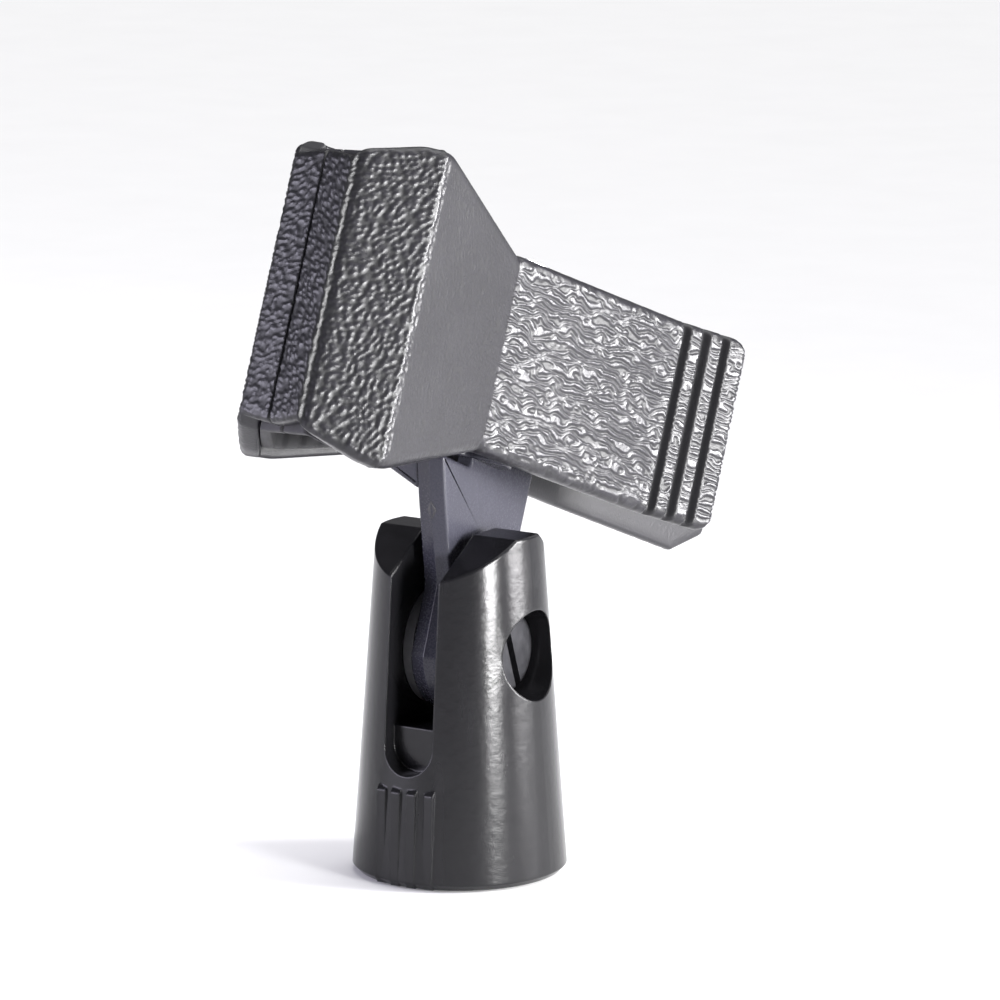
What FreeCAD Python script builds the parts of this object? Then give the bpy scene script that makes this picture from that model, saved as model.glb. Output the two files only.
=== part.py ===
import FreeCAD, Part
import math
import os

# Spring microphone clip on a conical swivel base. Millimetres, +Z up.
# Origin: centre of the thread's mouth on the base's flat bottom face.
# +X runs along the tilt screw, -Y is the front. The clip stands at its middle tilt.

Vector = FreeCAD.Vector
X_AXIS, Y_AXIS, Z_AXIS = Vector(1, 0, 0), Vector(0, 1, 0), Vector(0, 0, 1)

# base
BASE_BOTTOM_R = 13.5
BASE_TOP_R = 10.4
BASE_HEIGHT = 43.3
BASE_EDGE = 0.7
PIVOT_Z = 28.4
SLOT_WIDTH = 7.0
SLOT_FLOOR_Z = 19.6
SLOT_MOUTH_Z = 17.5
SLOT_MOUTH_DEPTH = 2.6
EAR_FLAT_HALF = 2.5
EAR_DROP = 4.8
HEAD_POCKET_R = 5.65
HEAD_POCKET_FLOOR = 5.7
NUT_POCKET_FLOOR = -5.7
RIB_COUNT = 4
RIB_PITCH = 2.3
RIB_WIDTH = 1.3
RIB_PROUD = 0.5
RIB_TOP_Z = 12.5
RIB_ROOT = 2.0
RIB_TOE = 0.6
INSERT_GAP = 0.02
EAR_ROUND = 0.35
BEYOND = 40.0  # longer than anything it cuts

# thread insert, 5/8 in - 27 female
INSERT_R = 9.5
INSERT_HEIGHT = 13.0
INSERT_GROOVE_R = 8.9
INSERT_GROOVES = ((3.5, 5.0), (8.0, 9.5))
THREAD_MINOR_R = 7.45

# tilt screw
SCREW_R = 2.5
SCREW_HEAD_R = 5.0
SCREW_HEAD_T = 2.0
SCREW_END_X = -10.4
SCREW_CHAMFER = 0.5
THREAD_GAP = 0.01
DRIVER_SLOT = (1.2, 1.1)
DRIVER_SLOT_TURN = 20.0
NUT_FLATS = 8.0
NUT_T = 3.6
NUT_CROWN = 0.25
NUT_POCKET_GAP = 0.3
LOCK_T = 0.9
LOCK_R = 3.85
LOCK_SPLIT = 0.7
LOCK_SPLIT_TURN = 18.0
WASHER_GAP = 0.1
WASHER_R = 7.6
WASHER_T = 1.4
WASHER_PLAY = 0.05
BORE_GAP = 0.08

# tongue
TONGUE_T = 4.0
EYE_R = 8.2
ROOT_Z = 9.2
END_GAP = 1.0
TONGUE_FRONT = ((15.6, 13.5), (5.9, 7.9))
TONGUE_BACK_Z = -5.6
TONGUE_TOP_Z = 16.2
WEB = ((-1.9, 22.7), (-10.0, 22.7), (-10.0, 20.6), (-1.9, 16.6))
WEB_SIDE = ((22.7, 12.0), (22.7, 16.9), (16.0, 13.6), (16.0, 12.0))
WEB_ROUND = 0.8

# clip body, in its own frame: U from the hinge towards the handles, V across
# the two halves, N along the hinge pin (and the microphone) towards the tongue
TILT = 67.5
PROFILE_TURN = -81.0
HINGE_X = 1.6
HINGE_RISE = 5.96
BODY_Y = 34.7
PARTING = 0.15
WALL = 2.2
JAW_WALL = 2.8
LIP_U, LIP_V = -40.4, 4.9
CREST_U, CREST_V = -31.3, 11.8
NECK_U, NECK_V = -7.7, 5.97
UPPER_GRIP_U, UPPER_GRIP_V = 24.0, 7.0
UPPER_END_U, UPPER_END_V = 34.6, 10.0
LOWER_GRIP_U, LOWER_GRIP_V = 22.0, 8.6
LOWER_END_U, LOWER_END_V = 54.0, 9.4
LIP_HALF, CREST_HALF, HANDLE_HALF = 17.2, 20.3, 12.6
LOWER_HANDLE_HALF = 13.0
CORNER_CUT = (6.5, 3.8)
LIP_LEAN, END_LEAN = 0.4, 0.3
CREST_ROUND, EDGE_ROUND, GRIP_ROUND = 2.4, 0.5, 6.0
NEAR_ROUNDS, FAR_ROUNDS, END_ROUND = (1.2, 2.0, 1.5), (1.5, 2.0, 3.2), 2.0
GROOVE_COUNT, GROOVE_PITCH, GROOVE_R, GROOVE_LIFT = 3, 2.95, 0.68, 0.07
UPPER_GROOVE_U, LOWER_GROOVE_U = 25.2, 41.0

# hinge
PIN_R = 1.5
KNUCKLE_R = 3.6
CHEEK_OUT, CHEEK_IN = 12.6, 10.6
LUG_OUT, LUG_IN = 10.3, 8.2
RETAINER_R, RETAINER_T = 3.2, 0.6
PIN_END = 1.1
PIN_BLIND_N = 11.6
KNUCKLE_REACH, KNUCKLE_SLOPE = 12.0, 11.5

# spring
WIRE_R = 0.6
COIL_R = 2.85
COIL_TURNS = 5.5
COIL_PITCH = 1.45
LEG_U = 17.0
UPPER_LEG_V = 3.9
LOWER_LEG_V = 5.3

# liners
LINER_T = 1.6
LINER_INSET = 1.2
LINER_END_U = -12.0
LINER_GAP = 0.02
LINER_GROOVES, LINER_PITCH, LINER_GROOVE_R = 4, 2.6, 0.5


def xcyl(radius, x0, x1, z=PIVOT_Z):
    return Part.makeCylinder(radius, x1 - x0, Vector(x0, 0, z), X_AXIS)


def revolve_rz(points):
    pts = [Vector(r, 0, z) for r, z in points]
    face = Part.Face(Part.makePolygon(pts + pts[:1]))
    return face.revolve(Vector(0, 0, 0), Z_AXIS, 360)


def prism(points, n0, n1):
    """Closed outline in U and V, carried from N = n0 to n1."""
    pts = [Vector(u, v, n0) for u, v in points]
    face = Part.Face(Part.makePolygon(pts + pts[:1]))
    return face.extrude(Vector(0, 0, n1 - n0))


def fillet_where(shape, radius, test):
    edges = [e for e in shape.Edges if test(e)]
    return shape.makeFillet(radius, edges) if edges else shape


def hexagon_prism(flats, x0, x1):
    r = flats / 2 / math.cos(math.radians(30))
    pts = [Vector(x0, r * math.cos(math.radians(60 * i)), PIVOT_Z + r * math.sin(math.radians(60 * i)))
           for i in range(7)]
    return Part.Face(Part.makePolygon(pts)).extrude(Vector(x1 - x0, 0, 0))


def to_part(shape):
    """From the clip's own frame to the part's frame, at the rest tilt."""
    c, s = math.cos(math.radians(PROFILE_TURN)), math.sin(math.radians(PROFILE_TURN))
    frame = FreeCAD.Matrix(c, -s, 0, HINGE_X,
                           0, 0, -1, BODY_Y,
                           s, c, 0, HINGE_RISE,
                           0, 0, 0, 1)
    placed = shape.copy()
    placed.transformShape(frame)
    return tilt(placed)


def tilt(shape):
    """From the head's frame (Y along the microphone, Z up) to the part's frame."""
    turned = shape.copy()
    turned.rotate(Vector(0, 0, 0), X_AXIS, TILT)
    turned.translate(Vector(0, 0, PIVOT_Z))
    return turned


def base_radius(z):
    return BASE_BOTTOM_R + (BASE_TOP_R - BASE_BOTTOM_R) * z / BASE_HEIGHT


def swivel_base():
    body = revolve_rz([(0, 0), (BASE_BOTTOM_R - BASE_EDGE, 0), (BASE_BOTTOM_R, BASE_EDGE),
                       (BASE_TOP_R, BASE_HEIGHT), (0, BASE_HEIGHT)])
    for side in (-1, 1):
        for k in range(RIB_COUNT):
            x = (k - (RIB_COUNT - 1) / 2) * RIB_PITCH
            y = math.sqrt((BASE_BOTTOM_R - BASE_EDGE) ** 2 - x * x)
            y_top = math.sqrt(base_radius(RIB_TOP_Z) ** 2 - x * x)
            outline = [(y - RIB_ROOT, 0), (y + RIB_PROUD / 2, 0), (y + 1.5 * RIB_PROUD, BASE_EDGE),
                       (y_top + RIB_PROUD, RIB_TOP_Z - RIB_TOE), (y_top, RIB_TOP_Z), (y_top - RIB_ROOT, RIB_TOP_Z)]
            pts = [Vector(x - RIB_WIDTH / 2, side * a, b) for a, b in outline]
            rib = Part.Face(Part.makePolygon(pts + pts[:1])).extrude(Vector(RIB_WIDTH, 0, 0))
            body = body.fuse(rib)
    half = SLOT_WIDTH / 2
    cuts = [Part.makeBox(SLOT_WIDTH, 2 * BEYOND, BEYOND, Vector(-half, -BEYOND, SLOT_FLOOR_Z))]
    mouth_y = base_radius(SLOT_MOUTH_Z) - SLOT_MOUTH_DEPTH
    for side in (-1, 1):
        cuts.append(Part.makeCylinder(half, BEYOND, Vector(0, side * mouth_y, SLOT_MOUTH_Z), Y_AXIS * side))
        y0 = mouth_y if side > 0 else -mouth_y - BEYOND
        cuts.append(Part.makeBox(SLOT_WIDTH, BEYOND, BEYOND, Vector(-half, y0, SLOT_MOUTH_Z)))
        cuts.append(ear_wedge(side))
    cuts.append(xcyl(HEAD_POCKET_R, HEAD_POCKET_FLOOR, BEYOND))
    cuts.append(hexagon_prism(NUT_FLATS + NUT_POCKET_GAP, -BEYOND, NUT_POCKET_FLOOR))
    cuts.append(xcyl(SCREW_R + BORE_GAP, -BEYOND, BEYOND))
    cuts.append(insert_blank(INSERT_GAP))
    for cut in cuts:
        body = body.cut(cut)
    return fillet_where(body.removeSplitter(), EAR_ROUND, ear_edge)


def ear_wedge(side):
    """Room above the sloping front or back of the ears."""
    slope = EAR_DROP / (BASE_TOP_R - EAR_FLAT_HALF)
    inner, outer = EAR_FLAT_HALF, 2 * BASE_TOP_R
    section = [(inner, BASE_HEIGHT), (outer, BASE_HEIGHT - slope * (outer - inner)), (outer, BASE_HEIGHT + outer),
               (inner, BASE_HEIGHT + outer)]
    pts = [Vector(-BEYOND, side * y, z) for y, z in section]
    return Part.Face(Part.makePolygon(pts + pts[:1])).extrude(Vector(2 * BEYOND, 0, 0))


def ear_edge(edge):
    box = edge.BoundBox
    low = BASE_HEIGHT - EAR_DROP
    wide = min(abs(box.XMin), abs(box.XMax)) > SLOT_WIDTH / 2 - 0.01
    return wide and box.ZMin > low - 1.2 and box.ZMax > low - 0.5


def insert_blank(gap=0.0):
    pts = [(0, 0), (INSERT_R + gap, 0)]
    for low, high in INSERT_GROOVES:
        pts += [(INSERT_R + gap, low + gap), (INSERT_GROOVE_R + gap, low + gap),
                (INSERT_GROOVE_R + gap, high - gap), (INSERT_R + gap, high - gap)]
    pts += [(INSERT_R + gap, INSERT_HEIGHT + gap), (0, INSERT_HEIGHT + gap)]
    return revolve_rz(pts)


def thread_insert():
    return insert_blank().cut(Part.makeCylinder(THREAD_MINOR_R, INSERT_HEIGHT + 2, Vector(0, 0, -1)))


def pivot_screw():
    head_x = HEAD_POCKET_FLOOR
    head = xcyl(SCREW_HEAD_R, head_x, head_x + SCREW_HEAD_T)
    head = fillet_where(head, EDGE_ROUND, lambda e: e.BoundBox.XMin > head_x + SCREW_HEAD_T - 0.01)
    screw = head.fuse(xcyl(SCREW_R, SCREW_END_X + SCREW_CHAMFER, head_x))
    tip = Part.makeCone(SCREW_R - SCREW_CHAMFER, SCREW_R, SCREW_CHAMFER, Vector(SCREW_END_X, 0, PIVOT_Z), X_AXIS)
    screw = screw.fuse(tip)
    width, depth = DRIVER_SLOT
    corner = Vector(head_x + SCREW_HEAD_T - depth, -width / 2, PIVOT_Z - BEYOND / 2)
    slot = Part.makeBox(SCREW_HEAD_T, width, BEYOND, corner)
    slot.rotate(Vector(0, 0, PIVOT_Z), X_AXIS, DRIVER_SLOT_TURN)
    return screw.cut(slot).removeSplitter()


def pivot_nut():
    x1 = NUT_POCKET_FLOOR - LOCK_T
    nut = hexagon_prism(NUT_FLATS, x1 - NUT_T, x1)
    crown_r = NUT_FLATS / 2 + NUT_CROWN
    crown = Part.makeCone(crown_r, crown_r + NUT_T, NUT_T, Vector(x1 - NUT_T, 0, PIVOT_Z), X_AXIS)
    return nut.common(crown).cut(xcyl(SCREW_R + THREAD_GAP, -BEYOND, 0))


def lock_washer():
    x1 = NUT_POCKET_FLOOR
    ring = xcyl(LOCK_R, x1 - LOCK_T, x1).cut(xcyl(SCREW_R + WASHER_GAP, -BEYOND, 0))
    corner = Vector(x1 - 2 * LOCK_T, -LOCK_SPLIT / 2, PIVOT_Z)
    split = Part.makeBox(3 * LOCK_T, LOCK_SPLIT, 2 * LOCK_R, corner)
    split.rotate(Vector(x1, 0, PIVOT_Z), Y_AXIS, LOCK_SPLIT_TURN)
    return ring.cut(split)


def friction_washer(side):
    x0 = side * (TONGUE_T / 2 + WASHER_PLAY)
    low, high = sorted((x0, x0 + side * WASHER_T))
    return xcyl(WASHER_R, low, high).cut(xcyl(SCREW_R + WASHER_GAP, -BEYOND, BEYOND))


def neck_v(u):
    """Height of the handle's outer face above the hinge between neck and grip."""
    return NECK_V + (UPPER_GRIP_V - NECK_V) * (u - NECK_U) / (UPPER_GRIP_U - NECK_U)


def shell_outline(grip, end):
    """The jaw half's section, from the lip over the crest to the handle's end."""
    inner_lip_u = LIP_U + JAW_WALL + LIP_LEAN
    return [(LIP_U + LIP_LEAN, PARTING), (LIP_U, LIP_V), (CREST_U, CREST_V), (NECK_U, NECK_V), grip, end,
            (end[0] + END_LEAN, end[1] - WALL), (grip[0] + 0.5, grip[1] - WALL),
            (NECK_U + 0.8, NECK_V - WALL), (NECK_U - 1.2, PARTING + 0.9), (NECK_U - 2.4, PARTING + 0.9),
            ramp_inner(LINER_END_U, JAW_WALL), crest_inner(JAW_WALL),
            (inner_lip_u, LIP_V - 1.2), (inner_lip_u, PARTING)]


def crest_inner(wall):
    """The crest's corner moved inwards by the wall."""
    a, b, c = (LIP_U, LIP_V), (CREST_U, CREST_V), (NECK_U, NECK_V)
    d1 = unit(b[0] - a[0], b[1] - a[1])
    d2 = unit(c[0] - b[0], c[1] - b[1])
    n1, n2 = (d1[1], -d1[0]), (d2[1], -d2[0])
    k = wall / (1 + n1[0] * n2[0] + n1[1] * n2[1])
    return (b[0] + k * (n1[0] + n2[0]), b[1] + k * (n1[1] + n2[1]))


def ramp_inner(u, wall):
    """A point on the ramp's inner face, below its outer face by the wall."""
    a, b = unit(NECK_U - CREST_U, NECK_V - CREST_V)
    return u, CREST_V + (u - CREST_U) * b / a - wall / a


def unit(a, b):
    length = math.hypot(a, b)
    return a / length, b / length


def plan(points, radii):
    """Outline in U and N with rounded corners, tall enough to cut any half."""
    pts = [Vector(u, -BEYOND, n) for u, n in points]
    solid = Part.Face(Part.makePolygon(pts + pts[:1])).extrude(Vector(0, 2 * BEYOND, 0))
    for (u, n), radius in zip(points, radii):
        solid = fillet_where(solid, radius, lambda e: e.BoundBox.YLength > BEYOND
                             and abs(e.BoundBox.Center.x - u) < 0.01 and abs(e.BoundBox.Center.z - n) < 0.01)
    return solid


def half_plan(half, end_u, cut):
    """One half seen from outside: lips, crest, taper to the neck, handle, cut corners if any."""
    near = [(LIP_U, LIP_HALF), (CREST_U, CREST_HALF), (NECK_U, half)]
    if cut:
        near += [(end_u - cut[0], half), (end_u, half - cut[1])]
        rounds = NEAR_ROUNDS + (1.0, END_ROUND, END_ROUND, 1.0) + FAR_ROUNDS
    else:
        near += [(end_u, half)]
        rounds = NEAR_ROUNDS + (END_ROUND, END_ROUND) + FAR_ROUNDS
    return plan(near + [(u, -n) for u, n in reversed(near)], rounds)


def liner_plan():
    """The jaw's plan moved in by the liner's inset, stopping where the liner does."""
    t = (LINER_END_U - CREST_U) / (NECK_U - CREST_U)
    near = [(LIP_U + LINER_INSET, LIP_HALF - LINER_INSET), (CREST_U, CREST_HALF - LINER_INSET),
            (LINER_END_U, CREST_HALF + (HANDLE_HALF - CREST_HALF) * t - LINER_INSET)]
    return plan(near + [(u, -n) for u, n in reversed(near)], (1.0, 2.0, 1.0, 1.0, 2.0, 2.5))


def jaw_half(grip, end, handle_half, cut, groove_u, grip_round=0):
    end_low = (end[0] + END_LEAN, end[1] - WALL)
    shell = prism(shell_outline(grip, end), -BEYOND, BEYOND)
    shell = fillet_where(shell, CREST_ROUND, lambda e: long_edge_at(e, crest_inner(JAW_WALL)))
    edges = (CREST_U, CREST_V), (LIP_U, LIP_V), end, end_low
    shell = fillet_where(shell, EDGE_ROUND, lambda e: long_edge_at(e, *edges))
    if grip_round:
        shell = fillet_where(shell, grip_round, lambda e: long_edge_at(e, grip))
    for k in range(GROOVE_COUNT):
        u = groove_u + k * GROOVE_PITCH
        v = grip[1] + (end[1] - grip[1]) * (u - grip[0]) / (end[0] - grip[0]) + GROOVE_LIFT
        shell = shell.cut(Part.makeCylinder(GROOVE_R, 2 * BEYOND, Vector(u, v, -BEYOND), Z_AXIS))
    return shell.common(half_plan(handle_half, end_low[0], cut))


def long_edge_at(edge, *corners):
    """True for an edge that runs the whole length along N at one of the corners."""
    c = edge.BoundBox.Center
    at_corner = any(abs(c.x - u) < 0.05 and abs(c.y - v) < 0.05 for u, v in corners)
    return at_corner and edge.BoundBox.ZLength > BEYOND


def knuckle(out_n, in_n):
    """Side wall of one half down to its round knuckle about the pin, both ends."""
    reach, slope = KNUCKLE_REACH, math.tan(math.radians(KNUCKLE_SLOPE))
    solids = []
    for n0, n1 in ((in_n, out_n), (-out_n, -in_n)):
        disc = Part.makeCylinder(KNUCKLE_R, n1 - n0, Vector(0, 0, n0), Z_AXIS)
        web = prism([(-6.2, 1.0), (-3.2, 0), (0, 0), (3.2, 0.6), (reach, reach * slope),
                     (reach + 4, neck_v(reach + 4) - WALL / 2), (NECK_U + 0.6, NECK_V - WALL / 2)], n0, n1)
        solids.append(disc.fuse(web))
    return solids


def mirrored(shape):
    return shape.mirror(Vector(0, 0, 0), Y_AXIS)


def upper_jaw():
    body = jaw_half((UPPER_GRIP_U, UPPER_GRIP_V), (UPPER_END_U, UPPER_END_V), HANDLE_HALF, None, UPPER_GROOVE_U,
                    GRIP_ROUND)
    for wall in knuckle(LUG_OUT, LUG_IN):
        body = body.fuse(wall)
    body = body.cut(Part.makeCylinder(PIN_R + BORE_GAP, 2 * BEYOND, Vector(0, 0, -BEYOND), Z_AXIS))
    return to_part(body.removeSplitter())


def tongue():
    """Flat tongue from the pivot eye to the lower half's end, in the head's frame."""
    half = TONGUE_T / 2
    root_y, free_y = BODY_Y - CHEEK_IN, BODY_Y - CHEEK_OUT - END_GAP
    outline = [(-EYE_R * 0.26, -EYE_R * 0.94), (12.0, TONGUE_BACK_Z), (root_y, TONGUE_BACK_Z), (root_y, ROOT_Z),
               (free_y, ROOT_Z), (free_y, TONGUE_TOP_Z), *TONGUE_FRONT, (-EYE_R * 0.30, EYE_R * 0.92)]
    pts = [Vector(-half, y, z) for y, z in outline]
    plate = Part.Face(Part.makePolygon(pts + pts[:1])).extrude(Vector(TONGUE_T, 0, 0))
    eye = Part.makeCylinder(EYE_R, TONGUE_T, Vector(-half, 0, 0), X_AXIS)
    return plate.fuse(eye).fuse(web()).removeSplitter()


def web():
    """Web across the front, from the tongue's side to the lower half's near end."""
    pts = [Vector(x, y, 0) for x, y in WEB]
    plate = Part.Face(Part.makePolygon(pts + pts[:1])).extrude(Vector(0, 0, BEYOND))
    plate = fillet_where(plate, WEB_ROUND, lambda e: e.BoundBox.ZLength > BEYOND - 1
                         and e.BoundBox.Center.x < -2 and e.BoundBox.Center.y < BODY_Y - CHEEK_OUT)
    side = [Vector(-BEYOND, y, z) for y, z in WEB_SIDE]
    return plate.common(Part.Face(Part.makePolygon(side + side[:1])).extrude(Vector(2 * BEYOND, 0, 0)))


def lower_jaw():
    body = jaw_half((LOWER_GRIP_U, LOWER_GRIP_V), (LOWER_END_U, LOWER_END_V), LOWER_HANDLE_HALF, CORNER_CUT,
                    LOWER_GROOVE_U)
    for wall in knuckle(CHEEK_OUT, CHEEK_IN):
        body = body.fuse(wall)
    body = mirrored(body)
    body = to_part(body.removeSplitter())
    body = body.fuse(tilt(tongue()))
    pin_room = Part.makeCylinder(PIN_R, BEYOND + PIN_BLIND_N, Vector(0, 0, -BEYOND), Z_AXIS)
    body = body.cut(to_part(pin_room))
    return body.cut(xcyl(SCREW_R + BORE_GAP, -BEYOND, BEYOND)).removeSplitter()


def hinge_pin():
    start = -CHEEK_OUT - PIN_END
    return to_part(Part.makeCylinder(PIN_R - THREAD_GAP, PIN_BLIND_N - start, Vector(0, 0, start), Z_AXIS))


def pin_retainer():
    ring = Part.makeCylinder(RETAINER_R, RETAINER_T, Vector(0, 0, -CHEEK_OUT - RETAINER_T), Z_AXIS)
    return to_part(ring.cut(Part.makeCylinder(PIN_R, BEYOND, Vector(0, 0, -BEYOND), Z_AXIS)))


def jaw_spring():
    """Torsion spring: a coil round the pin and a leg under each handle."""
    length = COIL_TURNS * COIL_PITCH
    helix = Part.makeHelix(COIL_PITCH, length, COIL_R)
    tangent = Vector(0, COIL_R, COIL_PITCH / (2 * math.pi))
    ring = Part.Wire(Part.makeCircle(WIRE_R, Vector(COIL_R, 0, 0), tangent))
    spring = Part.Wire(helix).makePipeShell([ring], True, True)
    spring.rotate(Vector(0, 0, 0), Z_AXIS, 90)
    spring.translate(Vector(0, 0, -length / 2))
    for n, side, face in ((-length / 2, 1, UPPER_LEG_V), (length / 2, -1, LOWER_LEG_V)):
        start = Vector(0, side * COIL_R, n)
        run = Vector(LEG_U, side * face, n) - start
        leg = Part.makeCylinder(WIRE_R, run.Length, start, run)
        spring = spring.fuse(leg.fuse(Part.makeSphere(WIRE_R * 1.02, start)))
    return to_part(spring)


def jaw_liner():
    """Ribbed lining that follows the inside of one jaw from the lip to short of the neck."""
    outer = crest_inner(JAW_WALL + LINER_GAP)
    inner = crest_inner(JAW_WALL + LINER_T)
    lip_u = LIP_U + JAW_WALL + LIP_LEAN + LINER_GAP
    along = unit(NECK_U - CREST_U, NECK_V - CREST_V)
    run = (LINER_END_U - CREST_U) / along[0]
    ramp_point = lambda start, d: (start[0] + along[0] * d, start[1] + along[1] * d)
    pts = [(lip_u, PARTING + 0.1), (lip_u, LIP_V - 1.25), outer, ramp_point(outer, run - 3.4),
           ramp_point(inner, run - 5.2), inner, (lip_u + LINER_T, LIP_V - 1.6), (lip_u + LINER_T, PARTING + 0.1)]
    liner = prism(pts, -BEYOND, BEYOND)
    liner = fillet_where(liner, CREST_ROUND, lambda e: long_edge_at(e, outer))
    liner = fillet_where(liner, 1.0, lambda e: long_edge_at(e, inner))
    for k in range(LINER_GROOVES):
        u, v = ramp_point(inner, 3.2 + k * LINER_PITCH)
        liner = liner.cut(Part.makeCylinder(LINER_GROOVE_R, 2 * BEYOND, Vector(u, v - 0.12, -BEYOND), Z_AXIS))
    return liner.common(liner_plan())


def export(shape, node):
    solid = shape.Solids
    print(node, "solids", len(solid), "valid", shape.isValid(), "volume %.1f mm3" % shape.Volume)
    shape.exportStep("parts/%s.step" % node)


def main():
    os.makedirs("parts", exist_ok=True)
    export(swivel_base(), "swivel_base")
    export(thread_insert(), "thread_insert")
    export(pivot_screw(), "pivot_screw")
    export(pivot_nut(), "pivot_nut")
    export(lock_washer(), "lock_washer")
    export(friction_washer(-1), "friction_washer_left")
    export(friction_washer(1), "friction_washer_right")
    export(lower_jaw(), "lower_jaw")
    export(upper_jaw(), "upper_jaw")
    export(hinge_pin(), "hinge_pin")
    export(pin_retainer(), "pin_retainer")
    export(jaw_spring(), "jaw_spring")
    export(to_part(jaw_liner()), "upper_jaw_liner")
    export(to_part(mirrored(jaw_liner())), "lower_jaw_liner")


main()
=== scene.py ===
import math
import bpy
import numpy as np
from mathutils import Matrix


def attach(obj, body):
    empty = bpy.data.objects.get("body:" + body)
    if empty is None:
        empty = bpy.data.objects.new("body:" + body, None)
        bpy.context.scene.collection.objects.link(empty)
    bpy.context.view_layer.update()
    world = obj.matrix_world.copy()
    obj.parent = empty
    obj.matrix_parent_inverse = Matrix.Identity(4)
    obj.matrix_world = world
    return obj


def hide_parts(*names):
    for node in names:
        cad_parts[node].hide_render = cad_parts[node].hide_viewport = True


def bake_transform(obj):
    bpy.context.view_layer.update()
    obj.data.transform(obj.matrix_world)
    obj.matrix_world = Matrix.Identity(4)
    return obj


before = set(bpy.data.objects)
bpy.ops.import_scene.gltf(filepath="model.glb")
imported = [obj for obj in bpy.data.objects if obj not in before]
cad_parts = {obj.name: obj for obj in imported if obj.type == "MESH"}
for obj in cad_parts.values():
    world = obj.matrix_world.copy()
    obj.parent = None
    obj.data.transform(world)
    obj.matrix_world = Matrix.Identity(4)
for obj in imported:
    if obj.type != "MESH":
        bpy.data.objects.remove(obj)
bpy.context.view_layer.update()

mm = 0.001
clip = {"tilt": 67.5, "profileTurn": -81.0, "hingeX": 1.6, "hingeRise": 5.96, "bodyY": 34.7, "pivotZ": 28.4,
        "lip": (-40.4, 4.9), "crest": (-31.3, 11.8), "neck": (-7.7, 5.97), "parting": 0.15,
        "wall": 2.2, "jawWall": 2.8, "lipHalf": 17.2, "crestHalf": 20.3}


def headToRow(x, y, z):
    # head axes tipped about X by the rest tilt and lifted to the pivot, millimetres to metres
    c, s = math.cos(math.radians(clip["tilt"])), math.sin(math.radians(clip["tilt"]))
    x, y, z = np.broadcast_arrays(x, y, z)
    return np.stack([x, y * c - z * s, y * s + z * c + clip["pivotZ"]], -1) * mm


def clipToRow(u, v, n):
    # u and v turned in the head's X and Z by the profile turn, n running back along the head's Y
    c, s = math.cos(math.radians(clip["profileTurn"])), math.sin(math.radians(clip["profileTurn"]))
    return headToRow(clip["hingeX"] + u * c - v * s, clip["bodyY"] - np.asarray(n, float),
                     clip["hingeRise"] + u * s + v * c)


def gridFaces(rows, cols, wrapRows=False, wrapCols=False):
    # quads between neighbours of a rows by cols grid, going round where it wraps
    r = np.arange(rows if wrapRows else rows - 1)[:, None]
    c = np.arange(cols if wrapCols else cols - 1)[None, :]
    r2, c2 = (r + 1) % rows, (c + 1) % cols
    quads = np.stack([r * cols + c, r * cols + c2, r2 * cols + c2, r2 * cols + c], -1)
    return quads.reshape(-1, 4).tolist()


def addPiece(name, verts, faces, body, slot, finish=None, hides=(), values=None):
    # one mesh at the origin, turned right side out by its signed volume
    verts = np.asarray(verts, float).reshape(-1, 3)
    tris = np.array([(f[0], f[i], f[i + 1]) for f in faces for i in range(1, len(f) - 1)])
    a, b, c = verts[tris[:, 0]], verts[tris[:, 1]], verts[tris[:, 2]]
    if np.einsum("ij,ij->i", a, np.cross(b, c)).sum() < 0:
        faces = [f[::-1] for f in faces]
    mesh = bpy.data.meshes.new(name)
    mesh.from_pydata(verts.tolist(), [], faces)
    mesh.polygons.foreach_set("use_smooth", np.ones(len(mesh.polygons), bool))
    for key, numbers in (values or {}).items():
        layer = mesh.attributes.new(key, "FLOAT", "POINT").data
        layer.foreach_set("value", np.asarray(numbers, np.float32).ravel())
    mesh.update()
    piece = bpy.data.objects.new(name, mesh)
    bpy.context.scene.collection.objects.link(piece)
    if finish:
        mesh.materials.append(finish)
    if body:
        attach(piece, body)
    if hides:
        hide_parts(*hides)
    return piece


def capFans(rows, cols):
    # triangles that close a tube's two ends about two points added after its rings
    hub, last = rows * cols, (rows - 1) * cols
    j = np.arange(cols)
    start = np.stack([np.full(cols, hub), (j + 1) % cols, j], -1)
    end = np.stack([np.full(cols, hub + 1), last + j, last + (j + 1) % cols], -1)
    return start.tolist() + end.tolist()


def closedTube(rings):
    # rings of points joined row to row, each end closed with a fan about its middle
    rows, cols = rings.shape[:2]
    faces = gridFaces(rows, cols, wrapCols=True)
    verts = np.concatenate([rings.reshape(-1, 3), rings[:1].mean(1), rings[-1:].mean(1)])
    return verts, faces + capFans(rows, cols)


def roundedPath(corners, radii, step, arcPoints=9):
    # straight runs joined by arcs tangent to both, then points an even step apart
    p = np.asarray(corners, float)
    out = [p[0]]
    for i in range(1, len(p) - 1):
        a, b = p[i] - p[i - 1], p[i + 1] - p[i]
        a, b = a / np.linalg.norm(a), b / np.linalg.norm(b)
        turn = math.acos(float(np.clip(a @ b, -1, 1)))
        if radii[i] and turn > 1e-3:
            reach = radii[i] * math.tan(turn / 2)
            start = p[i] - a * reach
            side = b - a * (a @ b)
            side = side / np.linalg.norm(side)
            for w in np.linspace(0, turn, arcPoints):
                out.append(start + radii[i] * (a * math.sin(w) + side * (1 - math.cos(w))))
        else:
            out.append(p[i])
    out = np.array(out + [p[-1]])
    run = np.concatenate([[0], np.cumsum(np.linalg.norm(np.diff(out, axis=0), axis=1))])
    s = np.linspace(0, run[-1], int(run[-1] / step) + 2)
    return s, np.interp(s, run, out[:, 0]), np.interp(s, run, out[:, 1])


noiseCells = 64


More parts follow.
